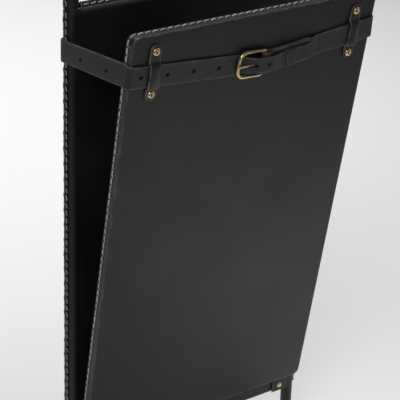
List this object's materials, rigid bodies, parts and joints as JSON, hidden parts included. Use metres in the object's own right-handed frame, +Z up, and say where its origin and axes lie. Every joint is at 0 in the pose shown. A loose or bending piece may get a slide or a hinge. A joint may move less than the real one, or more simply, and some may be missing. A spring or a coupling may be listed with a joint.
{
  "type": "magazine rack",
  "caption": "Free-standing magazine rack: leather-covered back panel on a tube frame, leaning front panel hinged at the bottom and held by a buckled belt.",
  "frame": {"origin": "on the floor, at the centre of the rack's footprint", "axes": "+X to the right seen from the front, +Y to the back, +Z up"},
  "size_m": [0.3502, 0.248, 0.7515],
  "materials": {
    "cover_leather": "semi-gloss black smooth hide",
    "strap_leather": "satin black bridle leather",
    "saddle_thread": "waxed cream linen thread",
    "brass": "worn polished brass",
    "tube_steel": "black lacquered steel tube",
    "panel_board": "plain plywood, covered"
  },
  "bodies": {
    "frame": {"frame_tube": "tube_steel", "cross_tube": "tube_steel", "handle_leather": "cover_leather", "handle_thread": "saddle_thread", "back_board": "panel_board", "back_front_leather": "cover_leather", "back_rear_leather": "cover_leather", "back_top_thread": "saddle_thread", "rear_loop_rivets": "brass", "belt_rear_run": "strap_leather", "left_foot_tube": "tube_steel", "left_foot_leather": "cover_leather", "left_front_foot_cap": "brass", "left_rear_foot_cap": "brass", "left_leg_leather": "cover_leather", "left_side_thread": "saddle_thread", "left_rear_loop": "strap_leather", "left_hinge_tab": "strap_leather", "left_hinge_stud": "brass", "left_belt_span": "strap_leather", "right_foot_tube": "tube_steel", "right_foot_leather": "cover_leather", "right_front_foot_cap": "brass", "right_rear_foot_cap": "brass", "right_leg_leather": "cover_leather", "right_side_thread": "saddle_thread", "right_rear_loop": "strap_leather", "right_hinge_tab": "strap_leather", "right_hinge_stud": "brass", "right_belt_span": "strap_leather"},
    "front_panel": {"front_board": "panel_board", "front_face_leather": "cover_leather", "front_rear_leather": "cover_leather", "front_edge_thread": "saddle_thread", "front_loop_rivets": "brass", "left_front_loop": "strap_leather", "right_front_loop": "strap_leather", "belt_tongue": "strap_leather", "belt_buckle_strap": "strap_leather", "belt_keeper": "strap_leather"},
    "buckle": {"buckle_frame": "brass"},
    "prong": {"buckle_prong": "brass"}
  },
  "joints": [
    {"name": "panel_tilt", "type": "hinge", "parent": "frame", "child": "front_panel", "pos_m": [0, 0.02033, 0.12282], "axis": [1, 0, 0], "range_deg": [-9.3, 0], "deforming": ["left_belt_span", "right_belt_span", "left_hinge_tab", "right_hinge_tab"]},
    {"name": "buckle_tilt", "type": "hinge", "parent": "front_panel", "child": "buckle", "pos_m": [0.009, -0.07559, 0.58857], "axis": [0.0515, -0.1695, 0.9842], "range_deg": [0, 7]},
    {"name": "prong_lift", "type": "hinge", "parent": "buckle", "child": "prong", "pos_m": [0.009, -0.07559, 0.58857], "axis": [0.0515, -0.1695, 0.9842], "range_deg": [0, 4]}
  ]
}
